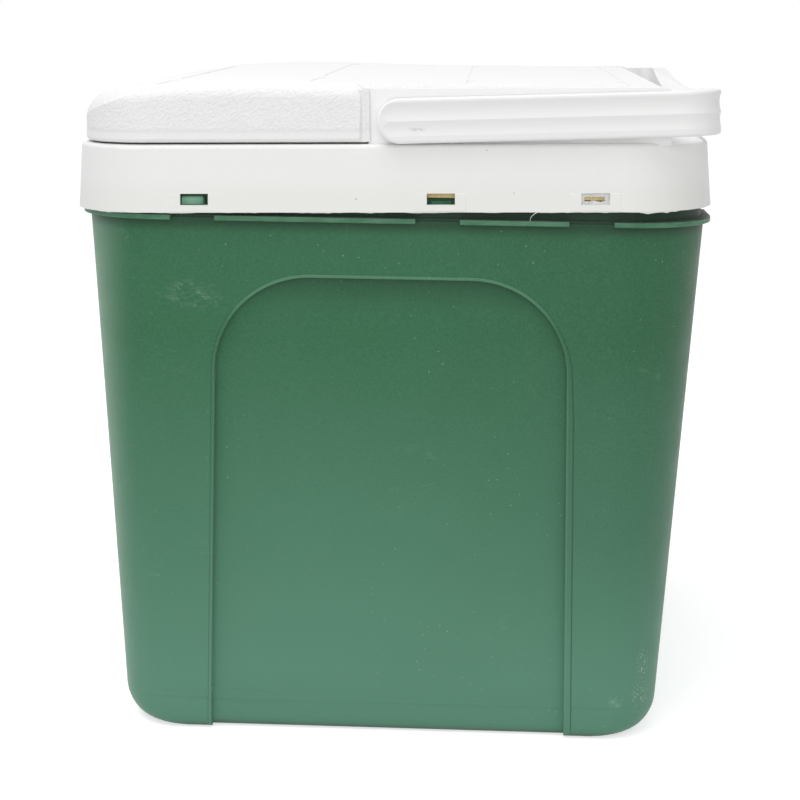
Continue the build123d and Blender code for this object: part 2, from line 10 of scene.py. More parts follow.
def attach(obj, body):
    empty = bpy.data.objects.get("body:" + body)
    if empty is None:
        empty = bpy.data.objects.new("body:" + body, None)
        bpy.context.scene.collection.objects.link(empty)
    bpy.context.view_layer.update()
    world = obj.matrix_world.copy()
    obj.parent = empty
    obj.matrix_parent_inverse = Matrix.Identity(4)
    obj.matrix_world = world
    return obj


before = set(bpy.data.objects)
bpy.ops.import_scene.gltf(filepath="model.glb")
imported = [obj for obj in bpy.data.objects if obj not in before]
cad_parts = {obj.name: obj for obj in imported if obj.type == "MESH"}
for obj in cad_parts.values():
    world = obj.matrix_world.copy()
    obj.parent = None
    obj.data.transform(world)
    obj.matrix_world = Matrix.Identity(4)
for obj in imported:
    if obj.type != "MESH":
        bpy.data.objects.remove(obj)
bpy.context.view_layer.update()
scene = bpy.context.scene

# The white upper unit sits slightly askew on the body.
UNIT_TILT = radians(1.1)
UNIT_Z = 0.2906
BODY_DRAFT = tan(radians(3.4))
RIM_DRAFT = tan(radians(4.4))
BASE_HALF_X = 0.1475
BASE_HALF_Y = 0.1707
WINDOW_X = (-0.1018, 0.0255, 0.1046)
PANEL_DEPTH = 0.004
RIM_CENTRE_X = -0.0013
RIM_HALF_X = 0.1689
RIM_HALF_Y = 0.1925
RIM_CORNER_R = 0.047

# Arched panel: where its sides end, the radius of its quarter circles and how far the sides spread.
PANEL_SIDE_TOP = 0.2035
PANEL_ARCH_Z = 0.204
PANEL_ARCH_R = 0.051
PANEL_SPREAD = 0.005
PANEL_SPREAD_TOP = 0.203
PANEL_SPREAD_RUN = 0.223

# Broken flange below the rim.
FLANGE_REACH = 0.02033
FLANGE_CORNER_R = 0.04833
FLANGE_PROUD = 0.00025
FLANGE_HIDDEN = -0.0052
GAP_HALF = 0.0114
GAP_SHIFT = 0.0015
END_GAP_Y = 0.1

# Faint raised field round each clip window, in the rim's own frame.
FIELD_HALF = 0.0131
FIELD_TOP = 0.0096
FIELD_BORDER = 0.0004
OPENING_HALF = 0.0074

FILM_X = 0.1042
FILM_Z = 0.0063
FILM_INSET = 0.00268

# Studio levels.
AMBIENT = 0.50
FLOOR_GLOW = 0.60
FLOOR_REACH = 6.0


def in_unit(points):
    """Points of the upper unit's own level frame, turned by the tilt about Y and lifted on to the body."""
    x, y, z = points[..., 0], points[..., 1], points[..., 2]
    return np.stack([x * cos(UNIT_TILT) - z * sin(UNIT_TILT), y,
                     UNIT_Z + z * cos(UNIT_TILT) + x * sin(UNIT_TILT)], axis=-1)


# ---------------------------------------------------------------- finishes

class Finish:
    """One procedural finish: a Principled shader and the nodes that feed it."""

    def __init__(self, name, roughness, **sockets):
        self.material = bpy.data.materials.new(name)
        self.material.use_nodes = True
        self.tree = self.material.node_tree
        self.shader = self.tree.nodes["Principled BSDF"]
        self.shader.inputs["Roughness"].default_value = roughness
        for key, value in sockets.items():
            self.shader.inputs[key.replace("_", " ")].default_value = value
        self.place = self.add("ShaderNodeTexCoord").outputs["Object"]
        split = self.add("ShaderNodeSeparateXYZ", {0: self.place})
        self.x, self.y, self.z = split.outputs

    def add(self, kind, inputs=None, **settings):
        """New node: sockets given as inputs are linked and plain values are set."""
        node = self.tree.nodes.new(kind)
        for key, value in settings.items():
            setattr(node, key, value)
        for key, value in (inputs or {}).items():
            if isinstance(value, bpy.types.NodeSocket):
                self.tree.links.new(value, node.inputs[key])
            else:
                node.inputs[key].default_value = value
        return node

    def math(self, operation, a, b=0.0, c=0.0, clamp=False):
        """One arithmetic step on numbers or sockets."""
        node = self.add("ShaderNodeMath", {0: a, 1: b, 2: c}, operation=operation, use_clamp=clamp)
        return node.outputs[0]

    def span(self, value, low, high, to_low=0.0, to_high=1.0, smooth=True):
        """Value carried from one span to another and held at its ends."""
        node = self.add("ShaderNodeMapRange", {"Value": value, "From Min": low, "From Max": high,
                                               "To Min": to_low, "To Max": to_high},
                        interpolation_type="SMOOTHSTEP" if smooth else "LINEAR")
        return node.outputs[0]

    def stretched(self, scale, turn=(0, 0, 0)):
        """Coordinates turned first and scaled after, so that streaks follow the turned axes."""
        node = self.add("ShaderNodeMapping", {"Vector": self.place, "Rotation": turn,
                                              "Scale": tuple(1 / value for value in scale)},
                        vector_type="TEXTURE")
        return node.outputs[0]

    def noise(self, scale, detail=3.0, rough=0.5, vector=None, distortion=0.0):
        """Cloudy value between 0 and 1."""
        node = self.add("ShaderNodeTexNoise", {"Vector": vector or self.place, "Scale": scale, "Detail": detail,
                                               "Roughness": rough, "Distortion": distortion})
        return node.outputs[0]

    def cells(self, scale, vector=None):
        """Distance to the nearest of the points scattered in space."""
        inputs = {"Vector": vector or self.place, "Scale": scale}
        return self.add("ShaderNodeTexVoronoi", inputs, feature="F1").outputs["Distance"]

    def blend(self, factor, first, second):
        """Colour that goes from the first to the second as the factor goes from 0 to 1."""
        inputs = {"Factor": factor}
        for index, colour in ((6, first), (7, second)):
            inputs[index] = colour if isinstance(colour, bpy.types.NodeSocket) else (*colour, 1.0)
        return self.add("ShaderNodeMix", inputs, data_type="RGBA").outputs[2]

    def bump(self, height, distance, strength=1.0, under=None):
        """Fine relief, over another relief where one is given."""
        inputs = {"Height": height, "Distance": distance, "Strength": strength}
        if under is not None:
            inputs["Normal"] = under
        return self.add("ShaderNodeBump", inputs).outputs[0]

    def near(self, centre, reach, stretch=(1, 1, 1)):
        """1 at a point and 0 beyond its reach, with a soft edge."""
        shift = self.add("ShaderNodeVectorMath", {0: self.place, 1: centre}, operation="SUBTRACT").outputs[0]
        scaled = self.add("ShaderNodeVectorMath", {0: shift, 1: stretch}, operation="MULTIPLY").outputs[0]
        length = self.add("ShaderNodeVectorMath", {0: scaled}, operation="LENGTH").outputs["Value"]
        return self.span(length, 0.0, reach, 1.0, 0.0)

    def wire(self, colour=None, roughness=None, normal=None):
        """Links what varies over the surface to the shader and gives back the material."""
        for key, socket in (("Base Color", colour), ("Roughness", roughness), ("Normal", normal)):
            if socket is not None:
                self.tree.links.new(socket, self.shader.inputs[key])
        return self.material


def green_shell(name="green_shell", edge=False):
    """Matte moulded green: fine grain, slow mottling, specks and scuffs; paler towards the base as painted
    light from the floor, with painted shade over the right half and on the right corner, and a painted sheen on
    the left corner.

    As an edge finish it carries a painted highlight all over near the top of an arch and in a thin line along
    its sides, and painted shade along its outer border lower down. As the shell it carries painted shadow under
    the flange and in the neck, and painted shade under the arch of the sunk panel and along the foot.
    """
    f = Finish(name, 0.52, IOR=1.5)
    f.shader.inputs["Specular IOR Level"].default_value = 0.25
    f.shader.inputs["Sheen Weight"].default_value = 0.11
    f.shader.inputs["Sheen Roughness"].default_value = 0.5
    # Paler towards the base: painted light from the floor, with slow mottling mixed in.
    rise = f.span(f.z, 0.03, 0.225, smooth=False)
    slow = f.noise(9.0, 2.0)
    rise = f.math("ADD", rise, f.math("MULTIPLY", f.math("SUBTRACT", slow, 0.5), 0.25))
    colour = f.blend(rise, (0.098, 0.249, 0.170), (0.026, 0.127, 0.057))
    shaded = f.math("MULTIPLY", f.span(f.x, 0.01, 0.13), f.span(f.z, 0.03, 0.13))
    colour = f.blend(f.math("MULTIPLY", shaded, 0.20), colour, (0.004, 0.030, 0.010))
    corner = f.span(f.math("ABSOLUTE", f.y), 0.105, 0.155)
    # Paler on the left corner: a painted grazing sheen.
    painted_sheen_left = f.math("MULTIPLY", corner, f.span(f.x, -0.136, -0.166, 0.0, 0.62))
    colour = f.blend(painted_sheen_left, colour, (0.21, 0.36, 0.26))
    # Darker on the right corner: painted shade.
    painted_shade_right_corner = f.math("MULTIPLY", corner, f.span(f.x, 0.150, 0.166, 0.0, 0.45))
    colour = f.blend(painted_shade_right_corner, colour, (0.040, 0.070, 0.040))
    fine = f.noise(900.0, 2.0, 0.6)
    colour = f.blend(f.span(fine, 0.35, 0.68, 0.0, 0.14), colour, (0.10, 0.26, 0.15))
    wisps = f.noise(60.0, 6.0, 0.72, f.stretched((1.0, 1.0, 2.2)), 0.6)
    patches = f.span(f.noise(11.0, 2.0), 0.50, 0.72)
    scuff = f.math("MULTIPLY", f.span(wisps, 0.56, 0.74), patches)
    threads = f.noise(260.0, 6.0, 0.75, f.stretched((0.6, 1.0, 1.6), (0, radians(8), 0)), 0.9)
    main = f.math("MAXIMUM", f.near((-0.1064, -0.1853, 0.2456), 0.020, (1.0, 1.0, 1.8)),
                  f.near((-0.1010, -0.1853, 0.2420), 0.016, (0.9, 1.0, 2.6)))
    main = f.math("MULTIPLY", main, f.span(threads, 0.46, 0.66))
    scuff = f.math("ADD", f.math("MULTIPLY", scuff, 0.24), f.math("MULTIPLY", main, 0.75), clamp=True)
    colour = f.blend(f.math("MULTIPLY", scuff, 0.45), colour, (0.36, 0.50, 0.42))
    speck = f.span(f.cells(210.0), 0.035, 0.075, 1.0, 0.0)
    crowd = f.span(f.noise(14.0, 2.0), 0.44, 0.66)
    speck = f.math("MULTIPLY", speck, crowd)
    colour = f.blend(f.math("MULTIPLY", speck, 0.6), colour, (0.55, 0.62, 0.54))
    dust = f.math("MAXIMUM", f.near((0.1395, -0.172, 0.024), 0.013, (1.6, 0.5, 1.0)),
                  f.near((0.1400, -0.173, 0.043), 0.013, (2.4, 0.5, 1.0)))
    grit = f.math("MULTIPLY", dust, f.span(f.noise(950.0, 2.0, 0.5), 0.585, 0.64))
    colour = f.blend(f.math("MULTIPLY", grit, 0.8), colour, (0.55, 0.60, 0.50))
    bruise = f.math("MULTIPLY", f.near((0.1254, -0.1720, 0.0223), 0.0055),
                    f.span(f.noise(420.0, 3.0, 0.6), 0.40, 0.62))
    colour = f.blend(f.math("MULTIPLY", bruise, 0.6), colour, (0.26, 0.42, 0.35))
    if edge:
        share = f.add("ShaderNodeAttribute", attribute_name="share").outputs["Fac"]
        upper = f.span(f.z, 0.222, 0.250)
        # Paler near the top of the arch and in a thin line along the sides: a painted highlight.
        pale = f.math("MAXIMUM", f.math("MULTIPLY", upper, f.span(share, 0.75, 0.98, 1.0, 0.0)),
                      f.span(share, 0.10, 0.28, 0.75, 0.0))
        colour = f.blend(f.math("MULTIPLY", pale, 0.30), colour, (0.17, 0.36, 0.24))
        # Darker along the outer border lower down: painted shade in the groove beside the bead.
        painted_shade = f.math("MULTIPLY", f.span(share, 0.70, 0.92), f.span(upper, 0.0, 1.0, 0.55, 0.0))
        colour = f.blend(painted_shade, colour, (0.008, 0.030, 0.014))
    else:
        # Dark neck between the flange top and the rim: painted shadow.
        painted_neck_shadow = f.math("MULTIPLY", f.span(f.z, 0.2850, 0.2858, 0.0, 0.80), f.span(f.z, 0.2916, 0.2922, 1.0, 0.0))
        # Darker just under the flange: painted shadow.
        painted_shade = f.math("MAXIMUM", f.math("MULTIPLY", f.span(f.z, 0.2770, 0.2842, 0.0, 0.62),
                                        f.span(f.z, 0.2850, 0.2858, 1.0, 0.0)), painted_neck_shadow)
        wall = f.math("MULTIPLY_ADD", f.z, BODY_DRAFT, BASE_HALF_Y)
        depth = f.math("SUBTRACT", wall, f.math("ABSOLUTE", f.y))
        sunk = f.math("MULTIPLY", f.span(depth, 0.0020, 0.0030), f.span(depth, 0.0120, 0.0060))
        sunk = f.math("MULTIPLY", sunk, f.span(f.math("ABSOLUTE", f.x), 0.094, 0.098, 1.0, 0.0))
        shade = f.math("MULTIPLY", sunk, f.span(f.z, 0.2360, 0.2550, 0.0, 0.32))
        painted_shade = f.math("MAXIMUM", painted_shade, shade)
        # Darker along the foot: painted contact shadow.
        painted_shade = f.math("MAXIMUM", painted_shade, f.span(f.z, 0.0050, 0.0005, 0.0, 0.55))
        colour = f.blend(painted_shade, colour, (0.004, 0.014, 0.006))
    rough = f.span(f.noise(70.0, 4.0, 0.6), 0.3, 0.7, 0.46, 0.58, smooth=False)
    grain = f.bump(f.noise(1300.0, 2.0, 0.6), 0.00006, 0.6)
    return f.wire(colour, rough, grain)


def worn_green_with_painted_light():
    """Green of the flange lip and clip nose: paler than the shell, as painted light on lips that catch the
    light from above, with fine lengthwise wear.
    """
    f = Finish("worn_green_with_painted_light", 0.45, IOR=1.5)
    f.shader.inputs["Specular IOR Level"].default_value = 0.3
    wear = f.noise(300.0, 4.0, 0.65, f.stretched((0.3, 0.3, 1.0)))
    # Two paler greens: painted light on the lip, streaked by lengthwise wear.
    colour = f.blend(f.span(wear, 0.35, 0.70), (0.044, 0.150, 0.078), (0.078, 0.205, 0.118))
    # Paler round the clip nose: a painted highlight.
    clip = f.near((-0.1028, -0.1919, 0.2948), 0.0095)
    colour = f.blend(f.math("MULTIPLY", clip, 0.8), colour, (0.17, 0.34, 0.24))
    return f.wire(colour, None, f.bump(f.noise(1300.0, 2.0, 0.6), 0.00006, 0.6))


def white_finish(name, tone, warm, roughness, grain_scale, grain_height):
    """Satin white plastic: two close whites in slow patches, fine grain and a few dark specks."""
    f = Finish(name, roughness, IOR=1.48)
    slow = f.span(f.noise(7.0, 3.0), 0.35, 0.65)
    colour = f.blend(slow, tone, warm)
    fine = f.span(f.noise(420.0, 3.0, 0.6), 0.3, 0.7, 0.0, 0.10)
    colour = f.blend(fine, colour, tuple(0.93 * v for v in tone))
    speck = f.span(f.cells(70.0), 0.012, 0.026, 1.0, 0.0)
    speck = f.math("MULTIPLY", speck, f.span(f.noise(21.0, 1.0), 0.52, 0.62))
    colour = f.blend(f.math("MULTIPLY", speck, 0.35), colour, (0.42, 0.41, 0.38))
    rough = f.span(f.noise(50.0, 4.0, 0.6), 0.3, 0.7, roughness - 0.05, roughness + 0.07, smooth=False)
    return f, colour, rough, f.bump(f.noise(grain_scale, 2.0, 0.6), grain_height, 0.5)


RIM_SPECKS = ((-0.0182, -0.1920, 0.2970, 0.0009), (0.0485, -0.1901, 0.3230, 0.0007),
              (0.0627, -0.1918, 0.3015, 0.0007), (0.1345, -0.1918, 0.3028, 0.0007),
              (0.1402, -0.1910, 0.3130, 0.0006))


def rim_white():
    """Rim plastic: a little darker and warmer towards the skirt's lower edge, whiter from the height of the
    upstands beside the lid and whiter still on the deck at the right end, both as painted light, and a few dark
    specks on the skirt.
    """
    f, colour, rough, grain = white_finish("rim_white", (0.795, 0.795, 0.79), (0.795, 0.795, 0.775), 0.46,
                                           1100, 0.00004)
    low = f.math("SUBTRACT", f.z, f.math("MULTIPLY", f.x, sin(UNIT_TILT)))
    colour = f.blend(f.span(low, UNIT_Z + 0.0190, UNIT_Z + 0.0060, 0.0, 0.8), colour, (0.755, 0.762, 0.730))
    # Whiter from the height of the upstands beside the lid: painted light.
    colour = f.blend(f.span(low, UNIT_Z + 0.0335, UNIT_Z + 0.0360), colour, (0.85, 0.85, 0.85))
    # Whiter deck at the right end, down in the slot under the grip: painted light.
    painted_light_right_end = f.blend(f.span(low, UNIT_Z + 0.0330, UNIT_Z + 0.0340), colour, (0.90, 0.90, 0.90))
    colour = f.blend(f.span(f.x, 0.142, 0.144), colour, painted_light_right_end)
    for x, y, z, size in RIM_SPECKS:
        colour = f.blend(f.math("MULTIPLY", f.near((x, y, z), size), 0.7), colour, (0.30, 0.29, 0.27))
    return f.wire(colour, rough, grain)


def handle_white():
    """Handle plastic: a smudge near the pivot, and painted light on faces that look to the left."""
    f, colour, rough, grain = white_finish("handle_white", (0.795, 0.795, 0.795), (0.80, 0.80, 0.795), 0.40,
                                           900, 0.00003)
    smudge = f.math("MULTIPLY", f.near((0.0125, -0.194, 0.3330), 0.0034, (0.6, 1.0, 2.4)),
                    f.span(f.noise(420.0, 4.0, 0.7), 0.34, 0.56))
    colour = f.blend(f.math("MULTIPLY", smudge, 0.5), colour, (0.22, 0.22, 0.22))
    # Paler on faces that look to the left, such as the grip's inner face: painted light.
    painted_light_facing_left = f.add("ShaderNodeSeparateXYZ", {0: f.add("ShaderNodeTexCoord").outputs["Normal"]}).outputs[0]
    colour = f.blend(f.span(painted_light_facing_left, -0.35, -0.70), colour, (0.93, 0.93, 0.93))
    return f.wire(colour, rough, grain)


def lid_white():
    """Leather-grained white, smooth in a band at the foot of the lid and on top, where it is a little paler as
    painted light.
    """
    f, colour, rough, grain = white_finish("lid_white", (0.81, 0.81, 0.81), (0.81, 0.81, 0.805), 0.50, 1100,
                                           0.00003)
    upward = f.add("ShaderNodeSeparateXYZ", {0: f.add("ShaderNodeTexCoord").outputs["Normal"]}).outputs[2]
    level = f.span(upward, 0.80, 0.98)
    # A little paler on faces that look up: painted light.
    colour = f.blend(level, colour, (0.83, 0.83, 0.83))
    creases = f.cells(680.0, f.stretched((0.62, 1.0, 1.25), (0, radians(-38), 0)))
    fold = f.noise(520.0, 4.0, 0.60, f.stretched((0.42, 1.0, 1.5), (0, radians(-42), 0)), 0.7)
    leather = f.math("ADD", f.span(creases, 0.0, 0.75, 0.0, 0.45), fold)
    low = f.math("SUBTRACT", f.z, f.math("MULTIPLY", f.x, sin(UNIT_TILT)))
    over_band = f.span(low, UNIT_Z + 0.0400, UNIT_Z + 0.0430)
    raised = f.math("MULTIPLY", leather, over_band)
    raised = f.math("MULTIPLY", raised, f.span(level, 0.0, 1.0, 1.0, 0.25))
    return f.wire(colour, rough, f.bump(raised, 0.0007, 0.65, grain))


def pan_white():
    """Underside of the lid: the same satin white, a little warmer."""
    f, colour, rough, grain = white_finish("pan_white", (0.80, 0.80, 0.79), (0.82, 0.82, 0.80), 0.42,
                                           1000, 0.00003)
    return f.wire(colour, rough, grain)


def film_white():
    """Thin torn film: cool white, darker in the hollows of its creases as painted shade."""
    f = Finish("film_white", 0.35)
    creases = f.noise(500.0, 3.0, 0.6, f.stretched((1.0, 1.0, 2.0)), 0.8)
    # Darker where the creases sink: painted shade.
    colour = f.blend(f.span(creases, 0.35, 0.65), (0.70, 0.71, 0.70), (0.82, 0.82, 0.81))
    return f.wire(colour, None, f.bump(creases, 0.0004, 0.8))


def foam_cells():
    """Cut rigid foam: pale tan with open cells, darker in the pits as painted shade."""
    f = Finish("rigid_foam", 0.85)
    cells = f.cells(900.0)
    colour = f.blend(f.span(f.noise(90.0, 4.0), 0.3, 0.7), (0.60, 0.45, 0.22), (0.72, 0.57, 0.30))
    # Darker in the pits: painted shade.
    colour = f.blend(f.span(cells, 0.25, 0.7, 0.0, 0.35), colour, (0.42, 0.30, 0.14))
    height = f.math("ADD", f.math("MULTIPLY", cells, -0.5), f.noise(260.0, 4.0, 0.7))
    return f.wire(colour, None, f.bump(height, 0.0006, 0.9))


def seal_rubber():
    """Dull dark grey rubber with slow mottling."""
    f = Finish("seal_rubber", 0.7)
    colour = f.blend(f.span(f.noise(80.0, 4.0), 0.3, 0.7), (0.16, 0.16, 0.16), (0.22, 0.22, 0.215))
    return f.wire(colour, None, f.bump(f.noise(700.0, 3.0), 0.0001, 0.5))


def drawn_steel():
    """Drawn steel of the hinge pins: bright grey with lines along the pin."""
    f = Finish("drawn_steel", 0.28, Metallic=1.0)
    lines = f.noise(120.0, 4.0, 0.6, f.stretched((30.0, 1.0, 30.0)))
    colour = f.blend(f.span(lines, 0.3, 0.7), (0.50, 0.50, 0.51), (0.68, 0.68, 0.68))
    return f.wire(colour, f.span(lines, 0.3, 0.7, 0.22, 0.38, smooth=False))


def bottle_blue():
    """Blow-moulded ice pack: pale blue with frosty mottling."""
    f = Finish("bottle_blue", 0.38, IOR=1.5)
    colour = f.blend(f.span(f.noise(14.0, 5.0, 0.6), 0.35, 0.65), (0.33, 0.52, 0.70), (0.48, 0.65, 0.80))
    rough = f.span(f.noise(60.0, 4.0), 0.3, 0.7, 0.32, 0.46)
    return f.wire(colour, rough, f.bump(f.noise(120.0, 3.0), 0.0003, 0.4))


def cap_blue():
    """Deep blue screw cap with slow mottling."""
    f = Finish("cap_blue", 0.4)
    colour = f.blend(f.span(f.noise(60.0, 4.0), 0.3, 0.7), (0.04, 0.11, 0.33), (0.06, 0.15, 0.40))
    return f.wire(colour, None, f.bump(f.noise(700.0, 3.0), 0.00006, 0.5))


def dress(node, material):
    """Puts a finish on every material slot of a CAD node."""
    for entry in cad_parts[node].material_slots:
        entry.material = material


rim_finish = rim_white()
foam_finish = foam_cells()
steel_finish = drawn_steel()
pack_finish = bottle_blue()
cap_finish = cap_blue()
green_finish = green_shell()
edge_finish = green_shell("green_edge", edge=True)
bar_finish = worn_green_with_painted_light()
film_finish = film_white()
lid_finish = lid_white()
finishes = {
    "outer_body": green_finish, "foam_core": foam_finish, "rim_liner": rim_finish, "handle": handle_white(),
    "lid_cover": lid_finish, "lid_pan": pan_white(), "lid_foam": foam_finish, "lid_gasket": seal_rubber(),
    "hinge_pin_near": steel_finish, "hinge_pin_far": steel_finish,
}
for number in range(1, 7):
    finishes[f"ice_pack_{number}"] = pack_finish
    finishes[f"pack_cap_{number}"] = cap_finish
for node, finish in finishes.items():
    dress(node, finish)


# ---------------------------------------------------------------- small pieces

def grid_piece(name, points, material, body, closed_u=False, closed_v=False, thickness=0.0, keep=None):
    """Mesh object from a grid of points, one quad between each four neighbours, or only where keep is true."""
    rows, columns = points.shape[:2]
    index = np.arange(rows * columns).reshape(rows, columns)
    if closed_u:
        index = np.vstack([index, index[:1]])
    if closed_v:
        index = np.hstack([index, index[:, :1]])
    quads = np.stack([index[:-1, :-1], index[1:, :-1], index[1:, 1:], index[:-1, 1:]], axis=-1)
    quads = quads.reshape(-1, 4) if keep is None else quads[keep]
    mesh = bpy.data.meshes.new(name)
    mesh.from_pydata(points.reshape(-1, 3).tolist(), [], quads.tolist())
    mesh.materials.append(material)
    piece = bpy.data.objects.new(name, mesh)
    scene.collection.objects.link(piece)
    if thickness:
        wall = piece.modifiers.new("wall", "SOLIDIFY")
        wall.thickness = thickness
        wall.offset = 0.0
    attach(piece, body)
    return piece


def rounded_loop(half_x, half_y, radius, count):
    """Points and outward directions along a rounded rectangle: straight runs joined by quarter circles."""
    straight_x = half_x - radius
    straight_y = half_y - radius
    parts = []
    for start, centre in ((-90, (1, -1)), (0, (1, 1)), (90, (-1, 1)), (180, (-1, -1))):
        turn = np.radians(start + np.linspace(0, 90, 25))
        out = np.stack([np.cos(turn), np.sin(turn)], axis=-1)
        middle = np.array([centre[0] * straight_x, centre[1] * straight_y])
        parts.append(middle + radius * out)
    corner = np.vstack(parts)
    loop = np.vstack([corner, corner[:1]])
    run = np.concatenate([[0], np.cumsum(np.linalg.norm(np.diff(loop, axis=0), axis=1))])
    at = np.linspace(0, run[-1], count, endpoint=False)
    line = np.stack([np.interp(at, run, loop[:, 0]), np.interp(at, run, loop[:, 1])], axis=-1)
    ahead = np.roll(line, -1, axis=0) - np.roll(line, 1, axis=0)
    out = np.stack([ahead[:, 1], -ahead[:, 0]], axis=-1) / np.linalg.norm(ahead, axis=1)[:, None]
    return line, out


def make_rim_flash():
    """Ragged moulding flash under the rim: a strip whose depth is noise squared, cut off at nothing."""
    count = 1500
    line, out = rounded_loop(RIM_HALF_X, RIM_HALF_Y, RIM_CORNER_R, count)
    line[:, 0] += RIM_CENTRE_X
    random = np.random.default_rng(7)
    coarse = np.interp(np.arange(count), np.arange(0, count + 12, 12), random.random(count // 12 + 1))
    fine = np.interp(np.arange(count), np.arange(0, count + 3, 3), random.random(count // 3 + 1))
    heavy = 1 + 1.3 * ((line[:, 0] > 0.127) & (line[:, 0] < 0.155) & (line[:, 1] < 0))
    depth = 0.00015 + 0.0011 * heavy * np.clip(0.65 * coarse + 0.35 * fine - 0.38, 0, None) ** 1.3
    levels = np.array([0.0008, 0.0, -0.5, -1.0])
    rows = []
    for number, level in enumerate(levels):
        z = np.full(count, level) if number < 2 else level * depth
        inward = 0.0006 + (0.0 if number < 2 else 0.0002 * -level)
        rows.append(np.column_stack([line - out * inward, z]))
    points = in_unit(np.stack(rows, axis=1))[::-1]
    return grid_piece("rim_flash", points, rim_finish, "box", closed_u=True, thickness=0.0003)


def close_poles(mesh):
    """One point at each end of a tube, in place of the last ring's points, which all lie together."""
    work = bmesh.new()
    work.from_mesh(mesh)
    bmesh.ops.remove_doubles(work, verts=work.verts, dist=1e-7)
    work.to_mesh(mesh)
    work.free()


def tube_piece(name, line, radii, material, body, sides=8):
    """Tube along a line: a ring of the local radius square to it at every point, closed at both ends."""
    ahead = np.gradient(line, axis=0)
    ahead /= np.linalg.norm(ahead, axis=1)[:, None]
    side = np.cross(ahead, np.array([0.0, 0.3, 1.0]))
    side /= np.linalg.norm(side, axis=1)[:, None]
    top = np.cross(side, ahead)
    turn = np.linspace(0, 2 * pi, sides, endpoint=False)
    ring = np.cos(turn)[None, :, None] * side[:, None] + np.sin(turn)[None, :, None] * top[:, None]
    radii = np.concatenate([[0.0], np.asarray(radii)[1:-1], [0.0]])
    points = line[:, None] + ring * radii[:, None, None]
    piece = grid_piece(name, points, material, body, closed_v=True)
    close_poles(piece.data)
    return piece


def rim_face(x, z, out):
    """Points in front of the rim's near face in the unit's frame, at a distance from the face."""
    return in_unit(np.stack([x, -(RIM_HALF_Y - z * RIM_DRAFT) - out, z], axis=-1))


def make_window_plate(name, mid_x, raised):
    """Faint raised field round a window: height falls to nothing over 0.4 mm at the field's border."""
    side, low = 24, 14
    across = np.concatenate([np.linspace(-FIELD_HALF, -OPENING_HALF, side),
                             np.linspace(OPENING_HALF, FIELD_HALF, side)])
    upward = np.concatenate([np.linspace(0.0004, 0.0036, low), np.linspace(0.0037, FIELD_TOP, 18)])
    x, z = np.meshgrid(across, upward, indexing="ij")
    border = np.minimum.reduce([x + FIELD_HALF, FIELD_HALF - x, FIELD_TOP - z])
    height = raised * np.clip(border / FIELD_BORDER, 0, 1) - 0.00003
    keep = np.ones((len(across) - 1, len(upward) - 1), bool)
    keep[side - 1, low - 1:] = False  # the window itself stays open
    grid_piece(name, rim_face(x + mid_x, z, height), rim_finish, "box", keep=keep)


def make_whisker():
    """Curl of moulding waste under the rim: a tapering thread on a short rising and falling arc."""
    t = np.linspace(0, 1, 40)
    x = 0.0753 - 0.0040 * t + 0.0007 * np.sin(2 * pi * t)
    z = 0.0004 - 0.0055 * t ** 1.3 + 0.0008 * np.sin(pi * t)
    y = -0.1921 - 0.0007 * np.sin(pi * t)
    line = in_unit(np.stack([x, y, z], axis=-1))
    tube_piece("flash_whisker", line, 0.00026 * (1 - 0.75 * t), rim_finish, "box")


def make_film():
    """Torn white film behind the right-hand window: a sheet with a ragged hole of superellipse outline."""
    turn = np.linspace(0, 2 * pi, 241)[:-1]
    random = np.random.default_rng(11)
    rag = np.interp(np.arange(240), np.arange(0, 246, 6), random.random(41))
    cosine, sine = np.cos(turn), np.sin(turn)
    square_x = np.sign(cosine) * np.abs(cosine) ** 0.35
    square_z = np.sign(sine) * np.abs(sine) ** 0.35
    hump = np.exp(-((square_x + 0.15) / 0.28) ** 2) * (sine < 0)
    hole_x = 0.00535 * square_x + 0.0003 * (rag - 0.5)
    hole_z = 0.0012 * square_z + (0.0005 * (rag - 0.5) + 0.0006 * hump) * (sine < 0.2)
    share = np.linspace(0, 1, 12)[None, :] ** 1.5
    x = (1 - share) * hole_x[:, None] + share * (0.0088 * square_x)[:, None]
    z = (1 - share) * hole_z[:, None] + share * (0.0042 * square_z)[:, None]
    waves = 0.00009 * np.sin(900 * x + 3 * np.sin(1300 * z)) * (1 - share)
    z = z + FILM_Z
    depth = RIM_HALF_Y - z * RIM_DRAFT - FILM_INSET + waves
    points = in_unit(np.stack([x + FILM_X, -depth, z], axis=-1))[::-1]
    grid_piece("window_film", points, film_finish, "box", closed_u=True)


def wall_y(z, panel):
    """Distance of the near wall from the middle at a height, inside or outside the sunk panel."""
    return BASE_HALF_Y + z * BODY_DRAFT - (PANEL_DEPTH if panel else 0.0)


def arch_line(half, low_z):
    """Outline of an arched panel on its wall and the directions away from it: sides, quarter circles, top."""
    side_z = np.linspace(low_z, PANEL_SIDE_TOP, 60)
    side_x = half + PANEL_SPREAD * (PANEL_SPREAD_TOP - side_z) / PANEL_SPREAD_RUN
    turn = np.linspace(0, pi / 2, 40)[1:]
    right = np.stack([side_x, side_z], axis=-1)
    round_right = np.stack([half - PANEL_ARCH_R + PANEL_ARCH_R * np.cos(turn),
                            PANEL_ARCH_Z + PANEL_ARCH_R * np.sin(turn)], axis=-1)
    right = np.vstack([right, round_right])
    left = right[::-1] * np.array([-1, 1])
    line = np.vstack([right, left])
    ahead = np.gradient(line, axis=0)
    out = np.stack([ahead[:, 1], -ahead[:, 0]], axis=-1) / np.linalg.norm(ahead, axis=1)[:, None]
    return line, out


